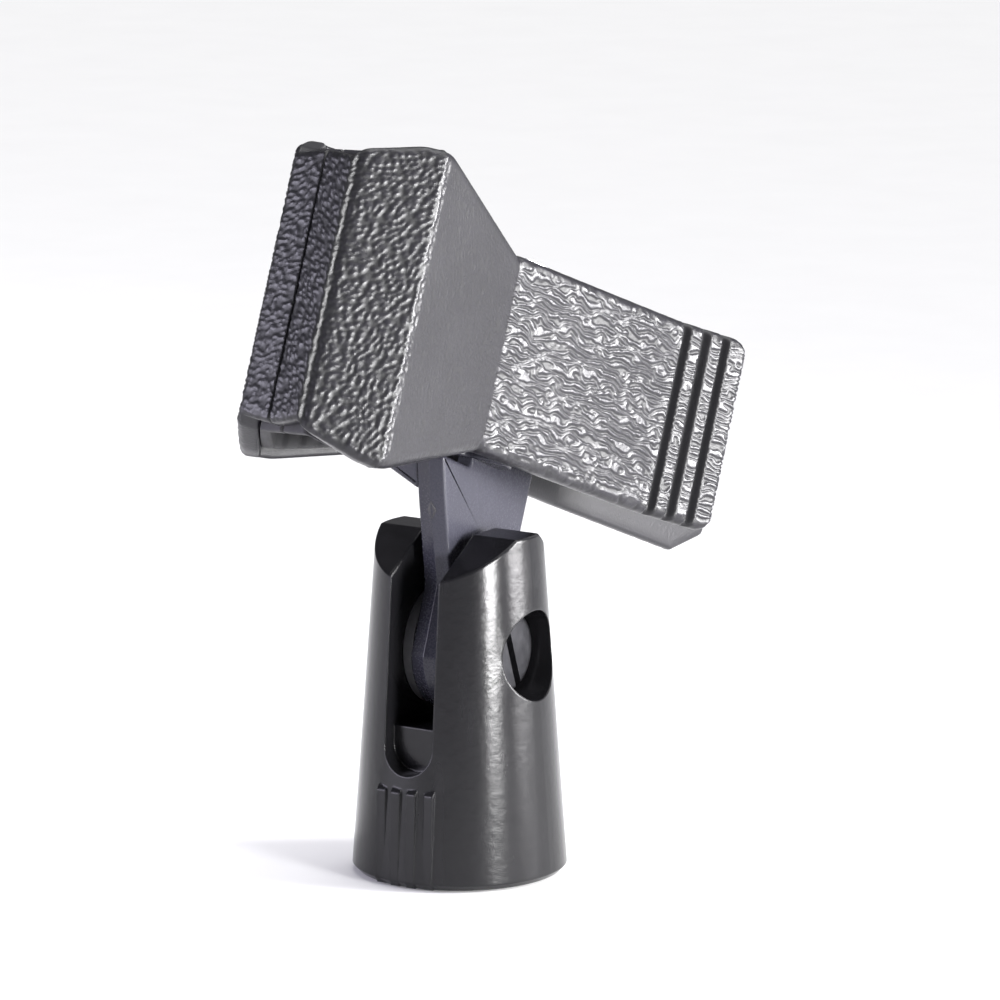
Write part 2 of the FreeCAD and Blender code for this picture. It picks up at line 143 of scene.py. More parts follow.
def cellNoise(a, b, seed):
    # nearest and second nearest distance to one jittered point per unit cell
    table = np.random.default_rng(seed).random((noiseCells, noiseCells, 2))
    ia, ib = np.floor(a).astype(int), np.floor(b).astype(int)
    near = np.full(np.shape(a), 9.0)
    second = near.copy()
    for da in (-1, 0, 1):
        for db in (-1, 0, 1):
            jitter = table[(ia + da) % noiseCells, (ib + db) % noiseCells]
            d = np.hypot(ia + da + jitter[..., 0] - a, ib + db + jitter[..., 1] - b)
            second = np.minimum(second, np.maximum(near, d))
            near = np.minimum(near, d)
    return near, second


def softNoise(a, b, seed):
    # random values on a lattice, blended with a smooth step
    table = np.random.default_rng(seed).random((noiseCells, noiseCells))
    ia, ib = np.floor(a).astype(int), np.floor(b).astype(int)
    fa, fb = a - ia, b - ib
    fa, fb = fa * fa * (3 - 2 * fa), fb * fb * (3 - 2 * fb)
    t = lambda i, j: table[(ia + i) % noiseCells, (ib + j) % noiseCells]
    low = t(0, 0) * (1 - fa) + t(1, 0) * fa
    high = t(0, 1) * (1 - fa) + t(1, 1) * fa
    return low * (1 - fb) + high * fb


def smooth(low, high, x):
    t = np.clip((x - low) / (high - low), 0, 1)
    return t * t * (3 - 2 * t)


grain = {"warp": 0.9, "warpCells": ((2.3, 2.3), (2.9, 1.9)), "warpAcross": 0.8,
         "jawCell": (1.05, 0.52), "jawTurn": 0.62, "jawTop": (0.08, 0.66), "jawDeep": 0.16,
         "handlePitch": 0.78, "handleSway": 1.8, "swayCell": (1.7, 1.0), "handleShake": 0.6,
         "shakeCell": (0.8, 0.6), "handleTop": (-0.95, 0.45), "handleDeep": 0.18,
         "rampCell": (0.62, 0.55), "rampTop": (0.0, 0.5), "rampDeep": 0.035}


def leather(a, b, place, seed):
    # place picks the kind: slanting round-topped bumps on the jaw (0), wavy bands along the handle (1),
    # fine pebbles on the ramp (2); the height is zero at the tops and falls by each kind's depth
    shift = lambda cell, k: grain["warp"] * (softNoise(a / cell[0], b / cell[1], seed + k) - 0.5)
    p = a + shift(grain["warpCells"][0], 0)
    q = b + grain["warpAcross"] * shift(grain["warpCells"][1], 1)
    c, s = math.cos(grain["jawTurn"]), math.sin(grain["jawTurn"])
    long, wide = grain["jawCell"]
    near, _ = cellNoise((p * c + q * s) / long, (q * c - p * s) / wide, seed + 2)
    jawTop = 1 - smooth(*grain["jawTop"], near)
    sway = grain["handleSway"] * softNoise(p / grain["swayCell"][0], q / grain["swayCell"][1], seed + 3)
    shake = grain["handleShake"] * softNoise(p / grain["shakeCell"][0], q / grain["shakeCell"][1], seed + 4)
    bands = np.sin(2 * math.pi * (q / grain["handlePitch"] + (sway + shake)))
    handleTop = smooth(*grain["handleTop"], bands)
    near, second = cellNoise(a / grain["rampCell"][0], b / grain["rampCell"][1], seed + 5)
    rampTop = smooth(*grain["rampTop"], second - near)
    # crease is each kind's top value, which later darkens the colour of the creases as painted shade
    height, crease = 0, 0
    for kind, top, deep in ((0, jawTop, grain["jawDeep"]), (1, handleTop, grain["handleDeep"]),
                            (2, rampTop, grain["rampDeep"])):
        weight = np.clip(1 - np.abs(place - kind), 0, 1)
        height = height + weight * deep * (top - 1)
        crease = crease + weight * top
    return height, crease


class Wire:
    # a shader socket that adds its own Math nodes when it is used in a sum
    def __init__(self, finish, socket):
        self.finish, self.socket = finish, socket

    def math(self, operation, *others):
        return self.finish.node("ShaderNodeMath", {"operation": operation},
                                dict(enumerate([self] + list(others))))

    def __add__(self, other): return self.math("ADD", other)
    def __radd__(self, other): return self.math("ADD", other)
    def __mul__(self, other): return self.math("MULTIPLY", other)

    def __rsub__(self, other):
        return self.finish.node("ShaderNodeMath", {"operation": "SUBTRACT"}, {0: other, 1: self})


class Finish:
    # a material with one Principled shader, and every node made by node()
    def __init__(self, name, **constants):
        self.material = bpy.data.materials.new(name)
        self.material.use_nodes = True
        self.tree = self.material.node_tree
        self.shader = next(n for n in self.tree.nodes if n.type == "BSDF_PRINCIPLED")
        for key, value in constants.items():
            self.shader.inputs[key.replace("_", " ")].default_value = value

    def node(self, kind, settings=None, sockets=None, output=0):
        made = self.tree.nodes.new(kind)
        for key, value in (settings or {}).items():
            setattr(made, key, value)
        for key, value in (sockets or {}).items():
            if isinstance(value, Wire):
                self.tree.links.new(value.socket, made.inputs[key])
            else:
                made.inputs[key].default_value = value
        return Wire(self, made.outputs[output])

    def feed(self, **wires):
        for key, value in wires.items():
            self.tree.links.new(value.socket, self.shader.inputs[key.replace("_", " ")])
        return self.material

    def objectPlace(self, stretch=(1, 1, 1), turn=(0, 0, 0)):
        place = self.node("ShaderNodeTexCoord", output=3)
        return self.node("ShaderNodeMapping", None, {"Vector": place, "Scale": stretch, "Rotation": turn})

    def noise(self, place, scale, detail=3.0):
        sockets = {"Vector": place, "Scale": scale, "Detail": detail, "Roughness": 0.55}
        return self.node("ShaderNodeTexNoise", None, sockets)

    def blendColor(self, factor, low, high):
        # sockets 0, 6 and 7 are the node's factor and two colours, and output 2 is the colour
        return self.node("ShaderNodeMix", {"data_type": "RGBA"}, {0: factor, 6: low, 7: high}, output=2)

    def bump(self, height, distance, strength=1.0, edge=0.0):
        sockets = {"Height": height, "Distance": distance, "Strength": strength}
        if edge:
            sockets["Normal"] = self.node("ShaderNodeBevel", {"samples": 6}, {"Radius": edge})
        return self.node("ShaderNodeBump", None, sockets)


def shade(r, g, b):
    return (r, g, b, 1.0)


def clipPlastic():
    # grained black plastic: creases, finger grooves and the lip's valley painted darker as painted shade and
    # made duller, micro pitting everywhere, polished high spots
    f = Finish("clipPlastic", Specular_IOR_Level=0.35)
    place = f.objectPlace()
    top = f.node("ShaderNodeAttribute", {"attribute_name": "grainTop"}, output=2)
    fine = f.noise(place, 2600.0, 4.0)
    wide = f.noise(place, 140.0, 2.0)
    # colour from the grain top value: near black in the creases and grooves as painted shade, lighter on the
    # tops
    color = f.blendColor(top * 0.75 + wide * 0.25, shade(0.003, 0.003, 0.0036), shade(0.013, 0.0125, 0.0155))
    rough = 0.40 - top * 0.18 + fine * 0.08 + wide * 0.06
    return f.feed(Base_Color=color, Roughness=rough, Normal=f.bump(fine, 0.00006, 0.55))


def smoothPlastic():
    # the ungrained inner faces and the tongue: fine spark-eroded texture and faint flow marks
    f = Finish("smoothPlastic", Specular_IOR_Level=0.2)
    place = f.objectPlace()
    fine = f.noise(place, 3800.0, 3.0)
    flow = f.noise(f.objectPlace((1.0, 1.0, 0.22), (0.4, 0.0, 0.0)), 240.0, 3.0)
    color = f.blendColor(flow, shade(0.018, 0.018, 0.024), shade(0.025, 0.025, 0.033))
    rough = 0.20 + fine * 0.08 + flow * 0.06
    return f.feed(Base_Color=color, Roughness=rough, Normal=f.bump(fine, 0.00003, 0.4))


def basePlastic():
    # satin-gloss moulded black: faint orange peel and rub marks
    f = Finish("basePlastic", Specular_IOR_Level=0.22)
    place = f.objectPlace()
    peel = f.noise(place, 900.0, 3.0)
    rub = f.noise(f.objectPlace((1.0, 1.0, 0.12)), 420.0, 3.0)
    color = f.blendColor(rub, shade(0.003, 0.003, 0.0034), shade(0.008, 0.0078, 0.009))
    rough = 0.14 + rub * 0.08 + peel * 0.04
    return f.feed(Base_Color=color, Roughness=rough, Normal=f.bump(peel, 0.00004, 0.6, 0.0003))


def rubberFinish():
    f = Finish("linerRubber", Specular_IOR_Level=0.4)
    place = f.objectPlace()
    fine = f.noise(place, 3000.0, 4.0)
    dust = f.noise(place, 300.0, 3.0)
    color = f.blendColor(dust, shade(0.014, 0.014, 0.015), shade(0.040, 0.039, 0.042))
    return f.feed(Base_Color=color, Roughness=0.66 + fine * 0.18, Normal=f.bump(fine, 0.00005, 0.5))


def metalFinish(name, low, high, rough, stretch=(1, 1, 1), metallic=1.0):
    # turned or drawn metal: fine lines along one way, stains in colour and gloss
    f = Finish(name, Metallic=metallic)
    lines = f.noise(f.objectPlace(stretch), 1500.0, 3.0)
    stain = f.noise(f.objectPlace(), 260.0, 3.0)
    color = f.blendColor(stain * 0.6 + lines * 0.4, shade(*low), shade(*high))
    return f.feed(Base_Color=color, Roughness=rough + lines * 0.14 + stain * 0.08,
                  Normal=f.bump(lines, 0.00002, 0.35, 0.00012))


def nylonFinish():
    f = Finish("washerNylon", Specular_IOR_Level=0.5)
    fine = f.noise(f.objectPlace(), 1800.0, 3.0)
    color = f.blendColor(fine, shade(0.02, 0.02, 0.022), shade(0.05, 0.05, 0.055))
    return f.feed(Base_Color=color, Roughness=0.42 + fine * 0.15, Normal=f.bump(fine, 0.00003, 0.4, 0.00015))


finishes = {
    "clip": clipPlastic(), "smooth": smoothPlastic(), "base": basePlastic(), "rubber": rubberFinish(),
    "brass": metalFinish("insertBrass", (0.42, 0.28, 0.10), (0.80, 0.62, 0.32), 0.22, (0.3, 0.3, 6)),
    "zinc": metalFinish("nutZinc", (0.42, 0.42, 0.44), (0.66, 0.66, 0.68), 0.26, (8, 1, 1)),
    "steel": metalFinish("springSteel", (0.26, 0.26, 0.28), (0.52, 0.52, 0.54), 0.24),
    "black": metalFinish("blackOxide", (0.012, 0.012, 0.014), (0.05, 0.05, 0.055), 0.26, metallic=0.85),
    "nylon": nylonFinish()}
print("finishes made", len(finishes))


def dressNode(node, key):
    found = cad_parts[node]
    found.data.materials.clear()
    found.data.materials.append(finishes[key])


for node, key in {"swivel_base": "base", "pivot_screw": "black", "pivot_nut": "zinc",
                  "lock_washer": "steel", "friction_washer_left": "nylon",
                  "friction_washer_right": "nylon", "hinge_pin": "zinc", "pin_retainer": "steel"}.items():
    dressNode(node, key)


plainTop = 0.6


def ribbon(s, outer, inner, nearHalf, farHalf, topRound, lowRound, lift, cols, lowCols):
    # rings across a bent wall: over the outer face, round the far edge, back under the inner face
    # and round the near edge, with lift moving the outer face out
    topSteps, lowSteps = 6, 3
    turn = np.linspace(0, math.pi / 2, topSteps + 1)
    low = np.linspace(0, math.pi / 2, lowSteps + 1)
    across, back = np.linspace(1, -1, cols), np.linspace(-1, 1, lowCols)
    face0, back0, back1 = np.zeros(cols), np.zeros(lowCols), np.ones(lowCols)
    top0, top1, low1 = np.zeros(topSteps), np.ones(topSteps), np.ones(lowSteps)
    # shares of half width, of rounding, of depth by top rounding, by plain wall, by low rounding
    side = np.concatenate([across, -top1, -low1, back, low1, top1])
    roundN = np.concatenate([face0, -np.sin(turn[1:]), -np.cos(low[:-1]), back0, np.sin(low[1:]),
                             np.cos(turn[:-1])])
    topD = np.concatenate([face0, 1 - np.cos(turn[1:]), low1, back1, low1, 1 - np.sin(turn[:-1])])
    wallD = np.concatenate([face0, top0, low1, back1, low1, top0])
    lowD = np.concatenate([face0, top0, np.sin(low[:-1]), back1, np.cos(low[1:]), top0])
    thick = np.hypot(outer[0] - inner[0], outer[1] - inner[1])
    top = np.minimum(topRound, 0.6 * thick)[:, None]
    bottom = np.minimum(lowRound, 0.3 * thick)[:, None]
    edge = np.where(wallD[None, :] > 0, bottom, top)
    half = np.where(side[None, :] > 0, nearHalf[:, None], farHalf[:, None])
    n = side * (half - edge) + roundN * edge
    depth = (topD * top + wallD * (thick[:, None] - top - bottom) + lowD * bottom) / thick[:, None]
    u = outer[0][:, None] + (inner[0] - outer[0])[:, None] * depth
    v = outer[1][:, None] + (inner[1] - outer[1])[:, None] * depth
    du, dv = np.gradient(outer[0], s), np.gradient(outer[1], s)
    size = np.hypot(du, dv)
    # the lift fades over the top rounding and leaves the rest of the ring alone
    face = np.clip(1 - topD * 0.8, 0, 1) * (1 - wallD)
    height, crease = lift(np.broadcast_to(s[:, None], n.shape), n)
    u = u - (dv / size)[:, None] * height * face
    v = v + (du / size)[:, None] * height * face
    return u, v, n, np.where(face > 0, crease * face + plainTop * (1 - face), plainTop)


plan = {"dipWide": 1.5, "nearDip": 0.35, "farDip": 0.6, "nearLip": 1.3, "farLip": 1.5, "lipTuck": 0.75}


def halfWidths(u, half, end, corner, cut, far):
    # jaw outline in plan: lips, crest, taper to the neck, straight handle, corners rounded off
    knots = [clip["lip"][0], clip["crest"][0], clip["neck"][0]]
    w = np.interp(u, knots, [clip["lipHalf"], clip["crestHalf"], half])
    w = w - (plan["farDip"] if far else plan["nearDip"]) * np.exp(-((u - knots[1]) / plan["dipWide"]) ** 2)
    if cut:
        w = w - cut[1] * np.clip((u - (end - cut[0])) / cut[0], 0, 1)
    bend = np.clip((u - (end - corner)) / corner, 0, 1)
    w = w - corner * (1 - np.sqrt(np.clip(1 - bend ** 2, 0, 1)))
    lip = plan["farLip"] if far else plan["nearLip"]
    tuck = np.clip((knots[0] + lip - u) / lip, 0, 1)
    return w - lip * plan["lipTuck"] * (1 - np.sqrt(np.clip(1 - tuck ** 2, 0, 1)))


upper = {"grip": (24.0, 7.0), "end": (34.6, 10.0), "half": 12.6, "corner": 2.4, "cut": None,
         "grooves": 25.2, "body": "upper_half", "side": 1, "seed": 11, "lugs": (8.2, 10.3), "step": 0.2}
lower = {"grip": (22.0, 8.6), "end": (54.0, 9.4), "half": 13.0, "corner": 1.4, "cut": (6.5, 3.8),
         "grooves": 41.0, "body": "lower_half", "side": -1, "seed": 71, "lugs": (10.6, 12.6), "step": 0.25}
groove = {"count": 3, "pitch": 2.95, "half": 0.74, "deep": 0.9, "fallEnd": -0.45, "riseStart": -0.35,
          "top": 0.1}
shell = {"cols": 168, "lowCols": 24, "startIn": 0.4, "rounds": (0, 1.1, 0.9, 0.7, 6.0, 0.95, 0),
         "tip": (0.3, 1.25), "pastCrest": 12, "edgeRounds": (0.9, 1.3, 1.8), "innerRound": 0.5,
         "rampFrom": (0.6, 1.2), "rampTo": (-0.25, 0.1), "valleyAt": 0.55, "valleyDeep": 0.36,
         "valleyWide": 0.55, "cornerWide": 0.8, "dullAndShade": 0.8}
# the shell's inner line, in u and v or in distances from the outer corners
inside = {"lipDrop": 1.2, "rampEnd": -12.0, "rampSlant": 1.03, "endWall": (-10.1, -8.9), "endWallAt": 1.05,
          "neckAt": -6.9, "neckOn": 0.8, "gripOn": 0.5, "endBack": 0.6, "endIn": 0.3, "tip": (0.25, 1.5)}


def crestInner(wall):
    # the crest's corner moved in by the wall, along the two faces' shared bisector
    a, b, c = (np.array(clip[k]) for k in ("lip", "crest", "neck"))
    d1, d2 = (b - a) / np.linalg.norm(b - a), (c - b) / np.linalg.norm(c - b)
    n1, n2 = np.array([d1[1], -d1[0]]), np.array([d2[1], -d2[0]])
    return tuple(b + wall / (1 + n1 @ n2) * (n1 + n2))


def nearest(s, u, v, corner):
    # distance along a line at its point nearest to a corner
    return s[np.argmin(np.hypot(u - corner[0], v - corner[1]))]


def jawShell(name, half, hides):
    lip, crest, neck, grip, end = clip["lip"], clip["crest"], clip["neck"], half["grip"], half["end"]
    tip = (end[0] + shell["tip"][0], end[1] - shell["tip"][1])
    s, u, v = roundedPath([(lip[0] + shell["startIn"], clip["parting"]), lip, crest, neck, grip, end, tip],
                          shell["rounds"], half["step"])
    past = s > shell["pastCrest"]
    at = lambda x: np.interp(x, u[past], s[past])
    wall, lipIn = clip["wall"], lip[0] + clip["jawWall"] + shell["startIn"]
    sLip, sCrest, sNeck = nearest(s, u, v, lip), nearest(s, u, v, crest), at(neck[0])
    rampEnd, (wallFrom, wallTo) = inside["rampEnd"], inside["endWall"]
    rampIn = np.interp(rampEnd, [crest[0], neck[0]], [crest[1], neck[1]]) - clip["jawWall"] * inside["rampSlant"]
    inner = [(0, lipIn, clip["parting"]), (sLip, lipIn, lip[1] - inside["lipDrop"]),
             (sCrest, *crestInner(clip["jawWall"])), (at(rampEnd), rampEnd, rampIn),
             (at(wallFrom), wallFrom, inside["endWallAt"]), (at(wallTo), wallTo, inside["endWallAt"]),
             (at(inside["neckAt"]), neck[0] + inside["neckOn"], neck[1] - wall),
             (at(grip[0]), grip[0] + inside["gripOn"], grip[1] - wall),
             (at(end[0] - inside["endBack"]), end[0] - inside["endIn"], end[1] - wall),
             (s[-1], end[0] + inside["tip"][0], end[1] - inside["tip"][1])]
    knots, iu, iv = (np.array(k) for k in zip(*inner))
    innerU, innerV = np.interp(s, knots, iu), np.interp(s, knots, iv)
    edge = np.interp(s, [sLip, sCrest, sNeck], shell["edgeRounds"])
    kindAt = [sCrest + shell["rampFrom"][0], sCrest + shell["rampFrom"][1],
              sNeck + shell["rampTo"][0], sNeck + shell["rampTo"][1]]

    def lift(a, b):
        # the grain, then the finger grooves cut in with a steep and a slow side, then the lip's valley
        height, crease = leather(a, np.where(a < sLip, b, -b), np.interp(a, kindAt, [0, 2, 2, 1]), half["seed"])
        spot = np.interp(a[:, 0], s, u)[:, None]
        for k in range(groove["count"]):
            along = spot - (half["grooves"] + k * groove["pitch"])
            inGroove = np.abs(along) < groove["half"]
            dip = (smooth(-groove["half"], groove["fallEnd"], along)
                   * (1 - smooth(groove["riseStart"], groove["half"], along)))
            height = np.where(inGroove, -groove["deep"] * dip, height)
            # the groove floors get a low top value, which paints them darker as painted shade
            crease = np.where(inGroove, groove["top"], crease)
        valley = np.exp(-((a - sLip - shell["valleyAt"]) / shell["valleyWide"]) ** 2)
        corner = np.exp(-((a - sLip) / shell["cornerWide"]) ** 2)
        # the lip's valley and its corner get a lower top value: duller, and painted darker as painted shade
        crease = crease * (1 - shell["dullAndShade"] * valley) * (1 - shell["dullAndShade"] * corner)
        return height - shell["valleyDeep"] * valley, crease

    near, far = (halfWidths(u, half["half"], tip[0], half["corner"], half["cut"], isFar)
                 for isFar in (False, True))
    ru, rv, rn, crease = ribbon(s, (u, v), (innerU, innerV), near, far, edge, shell["innerRound"], lift,
                                shell["cols"], shell["lowCols"])
    verts, faces = closedTube(clipToRow(ru, rv * half["side"], rn))
    values = {"grainTop": np.concatenate([crease.ravel(), [plainTop, plainTop]])}
    return addPiece(name, verts, faces, half["body"], "clip_plastic", finishes["clip"], hides, values)


capInset = 0.25


def prism(outline, stations, place, middle=None):
    # an outline carried along a third axis, a station being how far along and how far out it is there,
    # with each end closed as one face, or as a fan about a middle that sees the whole outline
    p = np.asarray(outline, float)
    ahead, behind = np.roll(p, -1, 0) - p, p - np.roll(p, 1, 0)
    ahead /= np.linalg.norm(ahead, axis=1)[:, None]
    behind /= np.linalg.norm(behind, axis=1)[:, None]
    area = np.sum(p[:, 0] * np.roll(p[:, 1], -1) - np.roll(p[:, 0], -1) * p[:, 1])
    normal = np.sign(area) * np.stack([(ahead + behind)[:, 1], -(ahead + behind)[:, 0]], -1)
    normal /= np.maximum(np.linalg.norm(normal, axis=1), 1e-9)[:, None]
    first, end = stations[0], stations[-1]
    stations = [(first[0], first[1] - capInset), *stations, (end[0], end[1] - capInset)]
    rings = np.array([place(*(p + normal * out).T, along) for along, out in stations])
    count = len(p)
    faces = gridFaces(len(stations), count, wrapCols=True)
    last = (len(stations) - 1) * count
    if middle is None:
        faces += [list(range(count))[::-1], list(range(last, last + count))]
        return rings.reshape(-1, 3), faces
    hubs = [place(np.array([middle[0]]), np.array([middle[1]]), stations[k][0]) for k in (0, -1)]
    return np.concatenate([rings.reshape(-1, 3)] + hubs), faces + capFans(len(stations), count)


def joinMeshes(parts):
    verts, faces, start = [], [], 0
    for v, f in parts:
        verts.append(v)
        faces += [[i + start for i in face] for face in f]
        start += len(v)
    return np.concatenate(verts), faces


def circlePoints(radius, first, last, count):
    # points of a circle between two angles in degrees
    angles = np.radians(np.linspace(first, last, count))
    return [(radius * math.cos(a), radius * math.sin(a)) for a in angles]


def roundedLoop(points, radius):
    # a closed outline with its corners taken off by quadratic curves
    p = np.asarray(points, float)
    out = []
    for i in range(len(p)):
        a, b, c = p[i - 1], p[i], p[(i + 1) % len(p)]
        before, after = np.linalg.norm(b - a), np.linalg.norm(c - b)
        cut = min(radius, 0.45 * before, 0.45 * after)
        start, end = b + (a - b) / before * cut, b + (c - b) / after * cut
        for w in (0.0, 0.25, 0.5, 0.75, 1.0):
            out.append((1 - w) ** 2 * start + 2 * w * (1 - w) * b + w * w * end)
    return np.array(out)


lug = {"radius": 3.6, "arc": (200, 352, 22), "reach": 12.0, "slope": 11.5, "top": 16.0, "under": 1.2,
       "shoulder": (0.2, 0.75), "neckOn": 0.6, "back": (-6.2, 1.0), "heel": (-0.1, -0.4), "round": 0.5,
       "edge": 0.25, "nose": 0.07}


def knuckles(name, half):
    # a side wall at each end of the hinge, falling from the handle to a round knuckle about the pin
    radius, reach, neck, grip = lug["radius"], lug["reach"], clip["neck"], half["grip"]
    slope = math.tan(math.radians(lug["slope"]))
    rise = lambda x: neck[1] + (grip[1] - neck[1]) * (x - neck[0]) / (grip[0] - neck[0]) - lug["under"]
    outline = circlePoints(radius, *lug["arc"])
    outline += [(radius + lug["shoulder"][0], lug["shoulder"][1]), (reach, reach * slope),
                (lug["top"], rise(lug["top"])), (neck[0] + lug["neckOn"], rise(neck[0])),
                lug["back"], (lug["heel"][0] - radius, lug["heel"][1])]
    outline = roundedLoop(outline, lug["round"])
    parts = []
    for sign in (1, -1):
        a, b = half["lugs"][0] * sign, half["lugs"][1] * sign
        step, nose = lug["edge"] * sign, lug["nose"]
        stations = [(a, -lug["edge"]), (a + step, 0), (b - step, 0), (b - nose * sign, -nose), (b, -lug["edge"])]
        parts.append(prism(outline, stations, lambda u, v, n: clipToRow(u, v * half["side"], n)))
    return addPiece(name, *joinMeshes(parts), half["body"], "clip_plastic", finishes["smooth"])


jawShell("upperShell", upper, ("upper_jaw",))
jawShell("lowerShell", lower, ("lower_jaw",))
knuckles("upperLugs", upper)
knuckles("lowerCheeks", lower)
print("jaw shells made")

tongue = {"half": 2.0, "eye": 8.2, "eyeArc": (112, 255, 40), "edge": 0.32, "round": 0.8, "hub": (14.0, 4.0),
          "underside": (0.35, 0.7), "soft": (0.1, -0.12), "seam": 0.09, "seamHalf": (0.12, 0.22),
          "corners": ((12.0, -5.6), (24.0, -5.6), (24.0, 9.2), (21.0, 9.2), (21.0, 16.1), (15.6, 13.4),
                      (5.9, 7.9))}
web = {"outline": ((-1.8, 22.7), (-10.0, 22.7), (-10.0, 20.6), (-1.8, 16.7)), "round": 0.8, "back": 12.05,
       "frontY": (16.0, 22.7), "frontZ": (13.55, 16.85),
       "stations": ((0, -0.4), (0.04, -0.12), (0.12, 0), (0.86, 0), (0.94, -0.1), (1.0, -0.4))}


def tonguePiece():
    # plate from the pivot eye up to the lower half's end wall, with a moulding seam round its edge
    outline, corners = circlePoints(tongue["eye"], *tongue["eyeArc"]), list(tongue["corners"])
    under = [tuple(np.array(outline[-1]) * (1 - w) + np.array(corners[0]) * w) for w in tongue["underside"]]
    loop = roundedLoop(outline + under + corners, tongue["round"])
    h, e, (soft, softOut), (near, far) = tongue["half"], tongue["edge"], tongue["soft"], tongue["seamHalf"]
    stations = [(-h, -e), (soft - h, softOut), (e - h, 0), (-far, 0), (-near, tongue["seam"]),
                (near, tongue["seam"]), (far, 0), (h - e, 0), (h - soft, softOut), (h, -e)]
    plate = prism(loop, stations, lambda y, z, x: headToRow(x, y, z), tongue["hub"])

    def front(x, y, k):
        # the web runs from a flat back (k 0) to a face (k 1) that slopes with the tongue's front edge
        slope = np.interp(y, web["frontY"], web["frontZ"])
        return headToRow(x, y, web["back"] + np.clip(k, 0, 1) * (slope - web["back"]))

    side = prism(roundedLoop(web["outline"], web["round"]), web["stations"], front)
    return addPiece("tongue", *joinMeshes([plate, side]), "lower_half", "clip_plastic", finishes["smooth"])


tonguePiece()


mark = {"at": (14.48, 12.83), "along": (0.870, 0.493), "out": (-0.493, 0.870), "wide": 0.55, "mid": (0.28, 0.5),
        "rings": ((1.2, -0.1), (1.2, 0.05), (1.0, 0.10), (0.8, 0.03), (0.1, 0.02))}


def gateMark():
    # small dark diamond just proud of the tongue's front edge, with a sunk middle
    (y0, z0), along, out, wide, (mx, my) = (mark[k] for k in ("at", "along", "out", "wide", "mid"))
    diamond = np.array([(-wide, 0), (-mx, my), (0, 1), (mx, my), (wide, 0), (mx, -my), (0, -1), (-mx, -my)])
    rings = []
    for size, lift in mark["rings"]:
        corner = diamond * size
        y = y0 + corner[:, 1] * along[0] + lift * out[0]
        z = z0 + corner[:, 1] * along[1] + lift * out[1]
        rings.append(headToRow(corner[:, 0], y, z))
    return addPiece("gateMark", *closedTube(np.array(rings)), "lower_half", "clip_plastic", finishes["rubber"])


gateMark()

liner = {"thick": 1.6, "inset": 1.2, "end": -12.0, "step": 0.3, "clear": 0.05, "rise": 0.1, "faceDrop": 1.6,
         "backDrop": 1.3, "faceShort": 5.2, "backShort": 3.6, "rounds": (0, 0.6, 1.2, 0), "plan": (90.0, 1.0),
         "edge": 0.5, "innerRound": 0.2, "cols": 40, "lowCols": 12,
         "ribPitch": 2.6, "ribDeep": 0.45, "ribEdge": (0.25, 0.45), "firstRib": 2.0, "ribsFrom": 0.8}


def jawLiner(name, half, hides):
    # rubber lining that follows the jaw's inside, ribbed along the microphone
    wall = clip["jawWall"] + liner["clear"]
    backU, startV = clip["lip"][0] + wall + shell["startIn"], clip["parting"] + liner["rise"]
    faceU = backU + liner["thick"]
    backC, faceC = np.array(crestInner(wall)), np.array(crestInner(wall + liner["thick"]))
    d = np.array(clip["neck"]) - np.array(clip["crest"])
    d = d / np.linalg.norm(d)
    run = (liner["end"] - clip["crest"][0]) / d[0]
    faceLip = (faceU, clip["lip"][1] - liner["faceDrop"])
    faceLine = [(faceU, startV), faceLip, tuple(faceC), tuple(faceC + d * (run - liner["faceShort"]))]
    s, u, v = roundedPath(faceLine, liner["rounds"], liner["step"])
    sCrest, sLip = nearest(s, u, v, faceC), nearest(s, u, v, faceLip)
    back = [(0, backU, startV), (sLip, backU, clip["lip"][1] - liner["backDrop"]), (sCrest, *backC),
            (s[-1], *(backC + d * (run - liner["backShort"])))]
    knots, bu, bv = (np.array(k) for k in zip(*back))
    width = halfWidths(u, half["half"], *liner["plan"], None, False) - liner["inset"]

    def lift(a, b):
        ribbed = a > sCrest + liner["ribsFrom"]
        phase = (a - sCrest - liner["firstRib"]) / liner["ribPitch"]
        rib = smooth(*liner["ribEdge"], np.abs(phase - np.round(phase))) * ribbed
        return -(1 - rib) * liner["ribDeep"] * ribbed, rib

    inner = (np.interp(s, knots, bu), np.interp(s, knots, bv))
    ru, rv, rn, _ = ribbon(s, (u, v), inner, width, width, np.full(len(s), liner["edge"]),
                                liner["innerRound"], lift, liner["cols"], liner["lowCols"])
    verts, faces = closedTube(clipToRow(ru, rv * half["side"], rn))
    return addPiece(name, verts, faces, half["body"], "liner_rubber", finishes["rubber"], hides)


jawLiner("upperLiner", upper, ("upper_jaw_liner",))
jawLiner("lowerLiner", lower, ("lower_jaw_liner",))
print("liners made")

spring = {"wire": 0.6, "coil": 2.85, "turns": 5.5, "pitch": 1.45, "leg": 17.0, "upperLeg": 3.9, "lowerLeg": 5.3,
          "coilPoints": 240, "legPoints": 15, "sides": 14, "blendIn": 0.6}


